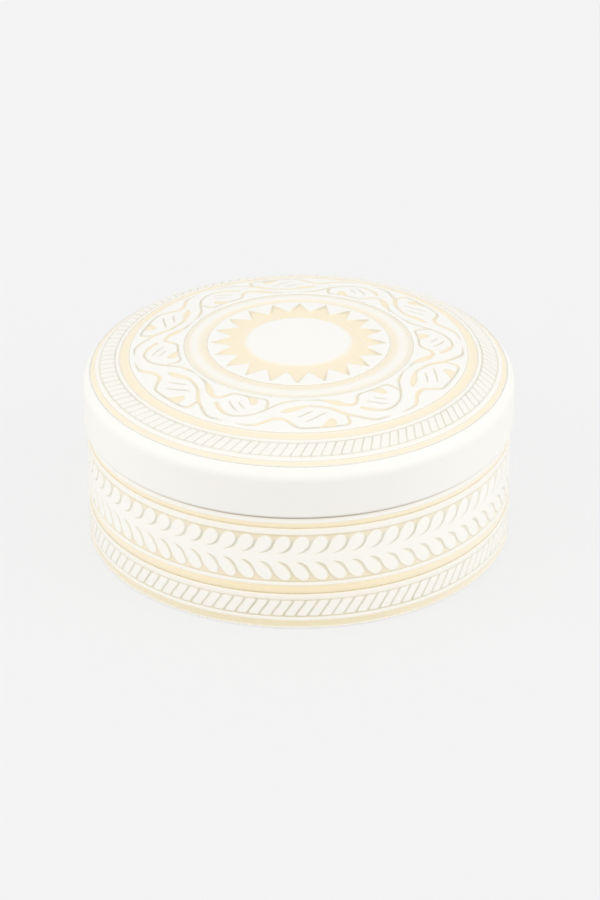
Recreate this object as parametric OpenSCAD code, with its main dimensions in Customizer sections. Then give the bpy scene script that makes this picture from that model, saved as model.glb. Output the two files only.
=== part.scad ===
// Round keepsake box with a domed, carved lid that lifts off a neck ring.
// The origin is on the table, in the middle of the box, and +Z points up.

/* [Overall] */
// Outer diameter of the lid
box_d = 150; // [140:1:190]
// Height of the body, from the table to the joint under the lid
body_h = 43.6; // [40:0.1:70]
// Height of the lid, from the joint to the middle of its crown
lid_h = 28.8; // [26:0.1:40]
// How far the lid stands out past the body all round
lid_overhang = 1; // [0.6:0.1:1.4]

/* [Shell] */
// Thickness of the body's side wall
wall_t = 6; // [5:0.1:9]
// Thickness of the base disc
base_t = 4.6; // [3:0.1:8]
// Width of the rebate in the wall's foot that holds the base disc
base_ledge = 2; // [1:0.1:2.6]
// Height of the straight side of the lid, below its rounded shoulder
skirt_h = 13.2; // [10:0.1:16]
// Power of the crown's curve, where 2 is an ellipse and more is squarer
crown_power = 2.3; // [2:0.05:3]
// Height of the hollow inside the lid
hollow_h = 18; // [15:0.1:19]
// Radius of the round between the hollow's side and its ceiling
hollow_round = 9; // [6:0.1:11]
// Radius of the arrises at the joint and at the foot
arris_r = 0.4; // [0.2:0.05:0.8]

/* [Neck] */
// Thickness of the neck ring
neck_t = 2; // [1.5:0.1:2.6]
// Height of the neck ring's seat inside the wall
neck_seat_h = 8; // [5:0.1:12]
// Height that the neck ring stands above the joint
neck_proud = 6; // [4:0.1:8]
// Chamfer that leads the lid over the neck ring
neck_lead = 0.8; // [0.4:0.1:1.2]
// Gap between the neck ring and the lid, all round
lid_clearance = 0.4; // [0.3:0.05:0.8]
// Glue line between pieces that are bonded together
glue_gap = 0.1; // [0.05:0.01:0.2]

/* [Felt] */
// Thickness of the felt linings
felt_t = 1.2; // [0.8:0.1:2]
// Gap between the edges of two linings
lining_gap = 0.3; // [0.2:0.05:0.6]
// Drop of the wall lining below the top of the neck ring
lining_drop = 2; // [1:0.1:4]
// Margin left round the lid lining
lid_lining_margin = 1; // [0.5:0.1:4]
// Thickness of the felt pad under the base
pad_t = 1.4; // [1:0.1:2]
// How far the pad stands below the wall's foot
pad_proud = 0.4; // [0.3:0.05:0.6]
// Gap between the pad's edge and the wall's foot
pad_margin = 4; // [1:0.1:10]

/* [Side bands] */
// Depth of the carving, on the side and on the lid
carve_depth = 0.5; // [0.3:0.05:0.7]
// Height of the plain lip under the joint
lip_h = 1.9; // [1:0.05:3]
// Height of the cove under the lip
cove_h = 2.75; // [1.5:0.05:4]
// Height of each plain ring between two bands
side_ring_h = 1.8; // [1:0.05:3]
// Height of the wide groove below the laurel band
side_groove_h = 3.5; // [2:0.05:5]
// Height of the rope band
rope_h = 6.6; // [4:0.05:8]
// Height of the plain ring above the foot
foot_ring_h = 1.6; // [1:0.05:2.4]
// Height of the cove at the foot
foot_cove_h = 2.7; // [1.5:0.05:3.5]
// Height of the plain lip at the foot
foot_lip_h = 0.5; // [0.45:0.05:1]

/* [Laurel band] */
// Leaves in each row of the laurel band
leaf_count = 74; // [60:1:84]
// Height of the plain stem between the two rows of leaves
stem_h = 3.2; // [2:0.1:5]
// Height of the stem's middle above the middle of the band
stem_rise = -0.35; // [-1:0.05:1]
// Narrow gap left between two leaves of a row
leaf_gap = 0.8; // [0.5:0.05:1.2]
// Direction of the first leaf
laurel_turn = -89.6; // [-180:0.1:180]

/* [Rope bands] */
// Strands round the side
side_rope_count = 112; // [80:1:128]
// Strands round the lid
lid_rope_count = 126; // [90:1:140]
// Width of the cut between two strands
rope_cut_w = 0.5; // [0.3:0.05:0.9]
// Lean of the strands on the side
side_rope_lean = 35; // [20:1:45]
// Lean of the strands on the lid
lid_rope_lean = 28; // [15:1:40]
// Direction of the first cut on the side
side_rope_turn = -86.5; // [-180:0.1:180]
// Direction of the first cut on the lid
lid_rope_turn = -88.5; // [-180:0.1:180]

/* [Lid rings] */
// Width of the plain shoulder outside the outermost groove
shoulder_w = 2.6; // [1.5:0.1:3]
// Width of the outermost groove
rim_groove_w = 1.7; // [1:0.1:3]
// Width of each plain ring beside the lid's rope band
rope_ring_w = 1.75; // [1:0.05:3]
// Width of the lid's rope band
lid_rope_w = 5.2; // [4:0.1:7]
// Width of the wide groove outside the vine band
wide_groove_w = 3.3; // [2:0.1:5]
// Width of each plain ring beside the vine band
vine_ring_w = 1.45; // [1:0.05:2]
// Width of the vine band
vine_w = 15.9; // [13:0.1:16]
// Width of the narrow groove inside the vine band
narrow_groove_w = 2.2; // [1:0.1:3]
// Width of the plain bead between the two inner grooves
bead_w = 3; // [2:0.1:4]
// Width of the groove round the sun
sun_groove_w = 3.1; // [2:0.1:4]

/* [Sun] */
// Rays of the sun
ray_count = 20; // [12:1:28]
// Length of the rays
ray_l = 7; // [3:0.1:8]
// Width of the ring that the rays stand on
sun_ring_w = 5; // [3:0.1:6]
// Gap between the rays' tips and the groove round them
ray_gap = 1.1; // [1:0.1:3]
// Curve of the rays' sides, where 1 is straight and more is hollow
ray_curve = 1.25; // [1:0.05:1.6]
// Direction of the first ray
sun_turn = -90.7; // [-180:0.1:180]

/* [Vine] */
// Waves of the vine round the lid
vine_waves = 6; // [5:1:7]
// Width of the vine's carved lines
vine_line_w = 1.1; // [0.5:0.05:1.3]
// Width of the veins in the vine's leaves
vein_w = 0.45; // [0.3:0.05:0.6]
// Direction of the vine's first crest
vine_turn = -116; // [-180:1:180]

/* [Hidden] */
$fn = 180;

// Overrun of a cut past the face that it opens
cut_over = 1;

// Radii and heights of the shells
lid_r = box_d / 2;
body_r = lid_r - lid_overhang;
inner_r = body_r - wall_t;
neck_r = inner_r + neck_t;
lid_inner_r = neck_r + lid_clearance;
base_r = inner_r + base_ledge;
base_z = pad_t;
floor_z = base_z + base_t;
joint_z = body_h;
neck_z = joint_z - neck_seat_h;
neck_top_z = joint_z + neck_proud;
shoulder_z = joint_z + skirt_h;
crown_rise = lid_h - skirt_h;
ceiling_z = joint_z + hollow_h;
lining_r = inner_r - glue_gap;

// Heights of the side bands, from the joint down
cove_top_z = joint_z - lip_h;
cove_low_z = cove_top_z - cove_h;
laurel_top_z = cove_low_z - side_ring_h;
foot_cove_low_z = pad_proud + foot_lip_h;
foot_cove_top_z = foot_cove_low_z + foot_cove_h;
rope_low_z = foot_cove_top_z + foot_ring_h;
rope_top_z = rope_low_z + rope_h;
side_groove_low_z = rope_top_z + side_ring_h;
side_groove_top_z = side_groove_low_z + side_groove_h;
laurel_low_z = side_groove_top_z + side_ring_h;
stem_z = (laurel_top_z + laurel_low_z) / 2 + stem_rise;

// Radii of the lid's rings, from the shoulder in
rim_groove_r = lid_r - shoulder_w;
rope_out_r = rim_groove_r - rim_groove_w - rope_ring_w;
rope_in_r = rope_out_r - lid_rope_w;
wide_groove_r = rope_in_r - rope_ring_w;
vine_out_r = wide_groove_r - wide_groove_w - vine_ring_w;
vine_in_r = vine_out_r - vine_w;
narrow_groove_r = vine_in_r - vine_ring_w;
bead_r = narrow_groove_r - narrow_groove_w;
sun_groove_r = bead_r - bead_w;
ray_tip_r = sun_groove_r - sun_groove_w - ray_gap;
ray_root_r = ray_tip_r - ray_l;
boss_r = ray_root_r - sun_ring_w;

// Steps that draw the rounded outlines
arris_steps = 4;
round_steps = 10;
crown_steps = 26;
curve_steps = 3;
leaf_steps = 8;

// A leaf of the upper row: root, bend and tip, in shares of the leaf's pitch and of its row's height
upper_leaf_shares = [[-0.8, -0.12], [0.02, -0.06], [0.06, 0.87]];
// A leaf of the lower row, with the same shares, drawn downwards
lower_leaf_shares = [[-0.66, -0.1], [0.02, 0.12], [0.24, 0.93]];
// Width of a leaf at its root, and the place of its widest point along the spine
leaf_root_share = 0.25;
leaf_widest_share = 0.62;

// Lines of one lobe of the vine: shares of a wave round the lid, and of the band's width outwards
leaf_back_shares = [
    [0.04, 0.98], [0.17, 0.86], [0.25, 0.73], [0.34, 0.7], [0.41, 0.88],
    [0.5, 0.97], [0.68, 0.97], [0.73, 0.9], [0.75, 0.64]
];
leaf_belly_shares = [
    [0.33, 0.41], [0.42, 0.31], [0.54, 0.25], [0.64, 0.34], [0.72, 0.52], [0.82, 0.77], [0.93, 0.96]
];
// Wedges cut deep beside the leaf's root and its tip
root_wedge_shares = [[0.31, 0.44], [0.4, 0.44], [0.45, 0.3], [0.4, 0.32]];
tip_wedge_shares = [[0.58, 0.93], [0.68, 0.94], [0.66, 0.76], [0.62, 0.78]];
// Both ends of each vein
vein_shares = [[[0.42, 0.6], [0.5, 0.4]], [[0.47, 0.74], [0.58, 0.46]], [[0.54, 0.8], [0.66, 0.5]]];

// Points of an arc about a centre, from one direction to another
function arc(centre, r, from, to, steps) =
    [for (k = [0:steps]) let (a = from + (to - from) * k / steps) centre + r * [cos(a), sin(a)]];

// Height of the uncarved crown at a radius
function crown_z(r) =
    shoulder_z + crown_rise * pow(1 - pow(r / lid_r, crown_power), 1 / crown_power);

// Points of the crown, from the shoulder up to the middle
crown_points = [
    for (k = [0:crown_steps])
        let (a = 90 * k / crown_steps)
        [
            lid_r * pow(max(0, cos(a)), 2 / crown_power),
            shoulder_z + crown_rise * pow(sin(a), 2 / crown_power)
        ]
];

// Point of a smooth curve through four neighbours, between the middle two
function between(a, b, c, d, t) =
    (2 * b + (c - a) * t + (2 * a - 5 * b + 4 * c - d) * t * t + (3 * b - a - 3 * c + d) * t * t * t) / 2;

// Smooth curve through all the points of a list
function smooth(p) =
    let (last = len(p) - 1)
    concat(
        [
            for (i = [0:last - 1], k = [0:curve_steps - 1])
                between(p[max(i - 1, 0)], p[i], p[i + 1], p[min(i + 2, last)], k / curve_steps)
        ],
        [p[last]]
    );

// Unit vector square to a curve at one of its points
function side_of(p, i) =
    let (d = p[min(i + 1, len(p) - 1)] - p[max(i - 1, 0)])
    [-d.y, d.x] / norm(d);

// Place on the lid of a point given in shares of a wave and of the vine band
function vine_place(share, crest, flip) =
    let (
        a = crest + share.x * 360 / vine_waves,
        r = vine_in_r + vine_w * (flip ? 1 - share.y : share.y)
    )
    r * [cos(a), sin(a)];

// Outline of a leaf: a bent spine, thin at the root and rounded at the tip
function leaf_spine(p, t) = (1 - t) * (1 - t) * p[0] + 2 * t * (1 - t) * p[1] + t * t * p[2];

function leaf_width(t) =
    t < leaf_widest_share
        ? leaf_root_share + (1 - leaf_root_share) * sin(90 * t / leaf_widest_share)
        : sqrt(max(0, 1 - pow((t - leaf_widest_share) / (1 - leaf_widest_share), 2)));

function leaf_outline(p, half_w) =
    let (
        places = [for (k = [0:leaf_steps]) sin(90 * k / leaf_steps)],
        spine = [for (t = places) leaf_spine(p, t)],
        w = [for (t = places) half_w * leaf_width(t)]
    )
    concat(
        [for (k = [0:leaf_steps]) spine[k] + w[k] * side_of(spine, k)],
        [for (k = [leaf_steps - 1:-1:0]) spine[k] - w[k] * side_of(spine, k)]
    );

// A band of even width along a curve
module ribbon(points, width) {
    last = len(points) - 1;
    polygon(concat(
        [for (i = [0:last]) points[i] + width / 2 * side_of(points, i)],
        [for (i = [last:-1:0]) points[i] - width / 2 * side_of(points, i)]
    ));
}

// Groove turned round the side, between two heights
module side_groove(low_z, high_z) {
    rotate_extrude()
        translate([body_r - carve_depth, low_z])
            square([carve_depth + cut_over, high_z - low_z]);
}

// Cove turned round the side: it slopes in and ends at a sharp ledge below
module side_cove(low_z, high_z) {
    rotate_extrude()
        polygon([
            [body_r, high_z],
            [body_r - carve_depth, (low_z + high_z) / 2],
            [body_r - carve_depth, low_z],
            [body_r + cut_over, low_z],
            [body_r + cut_over, high_z]
        ]);
}

// Groove turned round the lid, between two radii
module lid_groove(outer_r, width) {
    inner = outer_r - width;
    rotate_extrude()
        polygon([
            [inner, crown_z(inner) - carve_depth],
            [outer_r, crown_z(outer_r) - carve_depth],
            [outer_r, crown_z(inner) + cut_over],
            [inner, crown_z(inner) + cut_over]
        ]);
}

// Solid crown without its hollow
module crown_block() {
    rotate_extrude()
        polygon(concat([[0, joint_z], [lid_r, joint_z]], crown_points));
}

// Space above the carved depth of the crown, over the outlines given
module crown_carving() {
    difference() {
        translate([0, 0, joint_z])
            linear_extrude(height = lid_h + cut_over)
                children();
        translate([0, 0, -carve_depth])
            crown_block();
    }
}

// Ring of pointed rays round the plain middle of the lid
module sun() {
    step = 180 / ray_count;
    difference() {
        polygon([
            for (k = [0:ray_count - 1], s = [0, 0.5, 1, 1.5])
                let (
                    a = sun_turn + (2 * k + s) * step,
                    r = ray_root_r + ray_l * pow(abs(1 - s), ray_curve)
                )
                r * [cos(a), sin(a)]
        ]);
        circle(r = boss_r);
    }
}

// One leaf of the vine with the lines of the stem beside it
module vine_lobe(crest, flip) {
    ribbon([for (s = smooth(leaf_back_shares)) vine_place(s, crest, flip)], vine_line_w);
    ribbon([for (s = smooth(leaf_belly_shares)) vine_place(s, crest, flip)], vine_line_w);
    polygon([for (s = root_wedge_shares) vine_place(s, crest, flip)]);
    polygon([for (s = tip_wedge_shares) vine_place(s, crest, flip)]);
    for (v = vein_shares)
        ribbon([for (s = v) vine_place(s, crest, flip)], vein_w);
}

// Leaves in the outer bends of the vine, and mirrored leaves in its inner bends
module vine() {
    wave = 360 / vine_waves;
    for (k = [0:vine_waves - 1]) {
        vine_lobe(vine_turn + k * wave, false);
        vine_lobe(vine_turn + (k - 0.5) * wave, true);
    }
}

// Slanting cuts between the strands of the lid's rope band
module lid_rope() {
    middle_r = (rope_in_r + rope_out_r) / 2;
    cut_l = (lid_rope_w - rope_cut_w) / cos(lid_rope_lean);
    for (k = [0:lid_rope_count - 1])
        rotate(lid_rope_turn + k * 360 / lid_rope_count)
            translate([middle_r, 0])
                rotate(-lid_rope_lean)
                    square([cut_l, rope_cut_w], center = true);
}

// Slanting cuts between the strands of the side's rope band
module side_rope() {
    cut_l = (rope_h - rope_cut_w) / cos(side_rope_lean);
    for (k = [0:side_rope_count - 1])
        rotate([0, 0, side_rope_turn + k * 360 / side_rope_count])
            translate([body_r, 0, (rope_low_z + rope_top_z) / 2])
                rotate([-side_rope_lean, 0, 0])
                    cube([2 * carve_depth, rope_cut_w, cut_l], center = true);
}

// One row of laurel leaves, standing up from the stem or hanging from it
module laurel_row(shares, edge_z, row_h, up) {
    pitch = 2 * PI * body_r / leaf_count;
    places = [for (s = shares) [s.x * pitch, s.y * row_h * up]];
    outline = leaf_outline(places, (pitch - leaf_gap) / 2);
    for (k = [0:leaf_count - 1])
        rotate([0, 0, laurel_turn + k * 360 / leaf_count])
            translate([body_r - 2 * carve_depth, 0, edge_z])
                rotate([90, 0, 90])
                    linear_extrude(height = 2 * carve_depth)
                        polygon(outline);
}

// Side wall of the body, with its carved bands
module body_wall() {
    stem_top_z = stem_z + stem_h / 2;
    stem_low_z = stem_z - stem_h / 2;
    color("#F6F0E0") {
        difference() {
            rotate_extrude()
                polygon(concat(
                    [
                        [inner_r, neck_z],
                        [inner_r, floor_z],
                        [base_r + glue_gap, floor_z],
                        [base_r + glue_gap, pad_proud]
                    ],
                    arc([body_r - arris_r, pad_proud + arris_r], arris_r, -90, 0, arris_steps),
                    arc([body_r - arris_r, joint_z - arris_r], arris_r, 0, 90, arris_steps),
                    [
                        [neck_r + glue_gap, joint_z],
                        [neck_r + glue_gap, neck_z]
                    ]
                ));
            side_cove(cove_low_z, cove_top_z);
            side_groove(stem_top_z, laurel_top_z);
            side_groove(laurel_low_z, stem_low_z);
            side_groove(side_groove_low_z, side_groove_top_z);
            side_rope();
            side_cove(foot_cove_low_z, foot_cove_top_z);
        }
        laurel_row(upper_leaf_shares, stem_top_z, laurel_top_z - stem_top_z, 1);
        laurel_row(lower_leaf_shares, stem_low_z, stem_low_z - laurel_low_z, -1);
    }
}

// Disc glued into the rebate at the wall's foot
module base_disc() {
    color("#EFE9DA")
        translate([0, 0, base_z])
            cylinder(r = base_r, h = base_t);
}

// Ring glued inside the wall's mouth, which centres the lid
module neck_ring() {
    color("#EFE9DA")
        rotate_extrude()
            polygon([
                [inner_r, neck_z],
                [neck_r, neck_z],
                [neck_r, neck_top_z - neck_lead],
                [neck_r - neck_lead, neck_top_z],
                [inner_r, neck_top_z]
            ]);
}

// Felt strip round the inside of the wall and the neck ring
module wall_lining() {
    color("#D9CDB4")
        translate([0, 0, floor_z])
            difference() {
                cylinder(r = lining_r, h = neck_top_z - lining_drop - floor_z);
                translate([0, 0, -cut_over])
                    cylinder(r = lining_r - felt_t, h = neck_top_z - floor_z + cut_over);
            }
}

// Felt disc on the base disc, inside the wall lining
module floor_lining() {
    color("#D9CDB4")
        translate([0, 0, floor_z])
            cylinder(r = lining_r - felt_t - lining_gap, h = felt_t);
}

// Felt disc that the box stands on
module base_pad() {
    color("#CFC3AA")
        cylinder(r = base_r - pad_margin, h = pad_t);
}

// Domed lid with its carved rings, sun, vine and rope band
module lid_shell() {
    color("#F8F4E8")
        difference() {
            rotate_extrude()
                polygon(concat(
                    [[lid_inner_r, joint_z]],
                    arc([lid_r - arris_r, joint_z + arris_r], arris_r, -90, 0, arris_steps),
                    crown_points,
                    [[0, ceiling_z]],
                    arc(
                        [lid_inner_r - hollow_round, ceiling_z - hollow_round],
                        hollow_round, 90, 0, round_steps
                    )
                ));
            lid_groove(rim_groove_r, rim_groove_w);
            lid_groove(wide_groove_r, wide_groove_w);
            lid_groove(narrow_groove_r, narrow_groove_w);
            lid_groove(sun_groove_r, sun_groove_w);
            crown_carving() {
                sun();
                vine();
                lid_rope();
            }
        }
}

// Felt disc glued to the ceiling of the lid's hollow
module lid_lining() {
    color("#D9CDB4")
        translate([0, 0, ceiling_z - felt_t])
            cylinder(r = lid_inner_r - hollow_round - lid_lining_margin, h = felt_t);
}

body_wall();
base_disc();
neck_ring();
wall_lining();
floor_lining();
base_pad();
lid_shell();
lid_lining();
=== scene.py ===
"""Round keepsake box with a domed, carved lid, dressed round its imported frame."""
import math

import bpy
import numpy as np
from mathutils import Matrix, Vector


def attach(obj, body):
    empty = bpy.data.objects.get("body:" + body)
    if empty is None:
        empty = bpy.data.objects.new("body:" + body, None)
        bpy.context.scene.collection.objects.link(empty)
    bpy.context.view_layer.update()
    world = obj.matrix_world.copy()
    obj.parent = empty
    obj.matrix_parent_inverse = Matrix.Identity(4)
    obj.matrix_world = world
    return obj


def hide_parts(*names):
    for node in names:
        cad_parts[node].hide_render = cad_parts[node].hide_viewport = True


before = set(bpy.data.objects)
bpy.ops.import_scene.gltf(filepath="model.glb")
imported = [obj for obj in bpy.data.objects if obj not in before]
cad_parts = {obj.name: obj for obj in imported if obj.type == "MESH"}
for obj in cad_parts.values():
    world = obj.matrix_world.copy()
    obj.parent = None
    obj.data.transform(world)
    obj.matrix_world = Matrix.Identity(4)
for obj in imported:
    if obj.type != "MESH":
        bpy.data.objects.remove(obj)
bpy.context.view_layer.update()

# Sizes of the box in millimetres, the same as in its construction
MM = 0.001
LID_R = 75.0
BODY_R = 74.0
JOINT_Z = 43.6
SHOULDER_Z = 56.8
CROWN_RISE = 15.6
CROWN_POWER = 2.3
CARVE = 0.5

# Radii inside: the wall's bore, the neck ring and the base disc, the rebates that they are glued into, and
# the lid's hollow with the round at its ceiling
BORE_R = 68.0
NECK_R = BORE_R + 2
BASE_R = BORE_R + 2
REBATE_R = NECK_R + 0.1
HOLLOW_R = NECK_R + 0.4
HOLLOW_ROUND = 9
CEILING_FLAT_R = 30

# Heights inside: the neck ring with its chamfer, the hollow's ceiling and the base disc
NECK_LOW = JOINT_Z - 8
NECK_TOP = JOINT_Z + 6
NECK_LEAD = 0.8
CEILING_Z = JOINT_Z + 18
BASE_LOW = 1.4
BASE_TOP = 6.0

# Felt: its thickness, the radii of the four pieces, and the top of the one on the wall
FELT = 1.2
LID_FELT_R = 60.4
FLOOR_FELT_R = 66.4
WALL_FELT_R = 66.7
PAD_R = 66.0
WALL_FELT_TOP = NECK_TOP - 2

# Fit of the carved rings: how deep they and their seats go, how far their edges are rounded on the crown
# and on the side, how deep the shell lies beside them, and the gap between them, which is an overlap
SUNK = 1.2
SEAT = SUNK + 0.05
SOFT = 0.3
SIDE_SOFT = 0.15
EDGE = 0.22
PLAY = -0.05

# Radii of the lid's rings, and the power of the curve along a ray's sides
RIM_GROOVE = (70.7, 72.4)
WIDE_GROOVE = (58.7, 62.3)
NARROW_GROOVE = (37.7, 39.9)
SUN_GROOVE = (31.6, 34.7)
VINE_BAND = (41.35, 57.25)
LID_ROPE_BAND = (63.42, 69.36)
BOSS_R = 18.5
RAY_ROOT_R = 23.5
RAY_TIP_R = 30.5
RAY_POWER = 1.25

# Heights of the side's bands
COVE = (38.95, 41.7)
STEM_Z = 27.7
SIDE_GROOVE = (13.6, 17.1)
SIDE_ROPE_BAND = (4.75, 11.6)
FOOT_COVE = (0.9, 3.6)
FOOT_Z = 0.4

# Rows of each carving between its edges: how many steps lead up to which radius or height
SUN_STOPS = ((4, 15), (5, 17), (11, 21), (35, 31.1))
VINE_STOPS = ((2, 41.0), (60, 57.5))
LID_ROPE_STOPS = ((1, 63.25), (26, 69.5))
UPPER_STOPS = ((1, STEM_Z + 0.01), (2, 28.9), (30, 36.1), (6, 36.9))
LOWER_STOPS = ((1, 18.2), (6, 19.1), (30, 26.8), (2, STEM_Z - 0.01), (1, STEM_Z))
SIDE_ROPE_STOPS = ((1, 4.6), (32, 11.7))

# Distances of the rows that round an edge, on the crown and on the side
CROWN_EDGE = (0.01, 0.04, 0.1, 0.19)
SIDE_EDGE = (0.02, 0.08, 0.15)

# Depth of each carving's cuts and the width of their sloping walls
SUN_CUT = (CARVE, 0.4)
VINE_CUT = (0.38, 0.42)
LEAF_CUT = (0.4, 0.34)
ROPE_CUT = (0.35, 0.26)

# Points across one repeat of each ornament, and once round the plain pieces
SUN_COLUMNS = 44
VINE_COLUMNS = 204
LEAF_COLUMNS = 28
STRAND_COLUMNS = 18
TURNED_COLUMNS = 480
BASE_COLUMNS = 360
FELT_COLUMNS = 240
STRIP_COLUMNS = 720

# Counts of the repeated ornament, the directions where it starts and the lean of the strands, in degrees
LEAVES, LEAF_TURN = 74, -89.6
SIDE_STRANDS, SIDE_STRAND_TURN = 112, -88.1
LID_STRANDS, LID_STRAND_TURN = 126, -89.9
RAYS, RAY_TURN = 20, -90.7
WAVES, WAVE_TURN = 6, -116.0
SIDE_LEAN, LID_LEAN = 35, -31

# Width of the cuts between two rope strands
SIDE_STRAND_CUT = 0.74
LID_STRAND_CUT = 0.6

# Washes in the carvings, from 0 to 1: the cream and the grey in the cuts, the grey being partly dark wash
# and partly painted shade, the cream beside them on the ropes, both in cuts that are wide open, and the
# cream on the walls that go down into a seat
UPPER_TONES = (0.3, 0.38)
LOWER_TONES = (0.5, 0.28)
SIDE_ROPE_TONES = (0.4, 0.37, 0.24)
LID_ROPE_TONES = (0.1, 0.21, 0.12)
OPEN_CREAM = 0.75
OPEN_GREY = 0.15
WALL_WASH = 0.9

# Painted shade on the lid's plain skirt, from 0 to 1, and the angle of the shoulder over which it fades
SKIRT_SHADE = 0.1
SHOULDER_FADE = math.radians(8)

CHANCE = np.random.default_rng(11)


def crown(r):
    """Height of the lid's crown at a radius: shoulder + rise * (1 - (r / R) ^ p) ^ (1 / p)."""
    return SHOULDER_Z + CROWN_RISE * (1 - np.minimum(r / LID_R, 1) ** CROWN_POWER) ** (1 / CROWN_POWER)


def crown_normal(r):
    """Unit normal (outwards, up) of the crown at a radius, from its slope over 0.01 millimetre."""
    slope = (crown(r + 0.005) - crown(r - 0.005)) / 0.01
    length = np.hypot(slope, 1)
    return np.stack([-slope / length, 1 / length], -1)


def ramp(x, low, high):
    """Smooth step from 0 at low to 1 at high: 3t^2 - 2t^3."""
    t = np.clip((x - low) / (high - low), 0, 1)
    return t * t * (3 - 2 * t)


def wander(angle, waves, size):
    """Slow drift round the axis: a sum of sines with whole counts of waves and seeded phases."""
    phase = CHANCE.uniform(0, 2 * math.pi, len(waves))
    return size * np.sin(angle[..., None] * np.array(waves) + phase).sum(-1) / len(waves)


def once_round(columns, start=0):
    """Angles of evenly spread columns, once round the axis from the start."""
    return start + np.arange(columns)[None] * 2 * math.pi / columns


def skin(name, grid, marks, sharp=(), poles=None):
    """Closed mesh over the points grid[row, column], in millimetres. Columns run once round the axis. Rows
    join into a loop, or end in two poles at the heights given. Each mark is a value per point, which the
    materials read."""
    rows, columns = grid.shape[:2]
    last = rows if poles is None else rows - 1
    row = np.arange(last)[:, None]
    column = np.arange(columns)[None, :]
    beside = (column + 1) % columns
    above = (row + 1) % rows
    quads = np.stack([row * columns + column, row * columns + beside, above * columns + beside,
                      above * columns + column], -1).reshape(-1, 4)
    smooth = np.ones((last, columns), bool)
    smooth[list(sharp)] = False
    points = grid.reshape(-1, 3)
    corners = quads.ravel()
    sizes = np.full(len(quads), 4)
    smooth = smooth.ravel()
    marks = {mark: np.broadcast_to(value, (rows, columns)).ravel() for mark, value in marks.items()}
    if poles is not None:
        first = len(points)
        top = (rows - 1) * columns
        points = np.concatenate([points, [[0, 0, poles[0]], [0, 0, poles[1]]]])
        fan = np.stack([beside[0], column[0], np.full(columns, first)], -1)
        cap = np.stack([top + column[0], top + beside[0], np.full(columns, first + 1)], -1)
        corners = np.concatenate([corners, fan.ravel(), cap.ravel()])
        sizes = np.concatenate([sizes, np.full(2 * columns, 3)])
        smooth = np.concatenate([smooth, np.ones(2 * columns, bool)])
        marks = {mark: np.append(v, [v[:columns].mean(), v[top:].mean()]) for mark, v in marks.items()}
    a, b, c, d = (points[quads[:, k]] for k in range(4))
    volume = np.einsum("ij,ij->", a, np.cross(b, c)) + np.einsum("ij,ij->", a, np.cross(c, d))
    starts = np.concatenate([[0], np.cumsum(sizes)[:-1]])
    if volume < 0:
        place = np.arange(len(corners)) - np.repeat(starts, sizes)
        corners = corners[np.repeat(starts + sizes - 1, sizes) - place]
    mesh = bpy.data.meshes.new(name)
    mesh.vertices.add(len(points))
    mesh.vertices.foreach_set("co", (points * MM).astype(np.float32).ravel())
    mesh.loops.add(len(corners))
    mesh.loops.foreach_set("vertex_index", corners.astype(np.int32))
    mesh.polygons.add(len(sizes))
    mesh.polygons.foreach_set("loop_start", starts.astype(np.int32))
    mesh.polygons.foreach_set("use_smooth", smooth)
    for mark, values in marks.items():
        layer = mesh.attributes.new(mark, "FLOAT", "POINT")
        layer.data.foreach_set("value", values.astype(np.float32))
    mesh.update(calc_edges=True)
    mesh.validate()
    piece = bpy.data.objects.new(name, mesh)
    bpy.context.scene.collection.objects.link(piece)
    return piece


def eased(outline):
    """Outline with eased corners. Each row is r, z, wash, ink, shade and the easing radius. Beside a corner
    P the points are (1-t)^2 A + 2t(1-t) P + t^2 B, with A and B on its two sides, and one more lies past
    each."""

    def along(towards, times, most):
        length = np.hypot(*(towards - outline)[:, :2].T)
        share = np.minimum(times * outline[:, 5] / np.maximum(length, 1e-9), most)
        return outline + (towards - outline) * share[:, None]

    before, after = np.roll(outline, 1, axis=0), np.roll(outline, -1, axis=0)
    a, b = along(before, 1, 0.3), along(after, 1, 0.3)
    t = np.array([0, 0.25, 0.5, 0.75, 1])[None, :, None]
    bend = (1 - t) ** 2 * a[:, None] + 2 * t * (1 - t) * outline[:, None] + t ** 2 * b[:, None]
    path = np.concatenate([along(before, 1.9, 0.45)[:, None], bend, along(after, 1.9, 0.45)[:, None]], 1)
    path = path.reshape(-1, outline.shape[1])[:, :5]
    return path[np.hypot(*(path - np.roll(path, 1, axis=0))[:, :2].T) > 1e-3]


def turned(name, outline, columns, poles=None, left=None):
    """Surface of revolution: the outline's point (r, z) goes to (r cos a, r sin a, z) for every angle a.
    The wash and the ink take the share that is left at that angle, and the shade goes as
    0.12 + 0.88 sin^2 a."""
    r, z, wash, ink_and_shade, shade = eased(np.array(outline, float)).T[:, :, None]
    angle = once_round(columns)
    grid = np.stack([r * np.cos(angle), r * np.sin(angle), z + 0 * angle], -1)
    share = 1 if left is None else left(angle)
    # Painted shade, strongest at the front and back and faint at the left and right
    painted_shade = shade * (0.12 + 0.88 * np.sin(angle) ** 2)
    return skin(name, grid, {"wash": wash * share, "ink_and_shade": ink_and_shade * share, "shade": painted_shade}, poles=poles)


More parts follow.
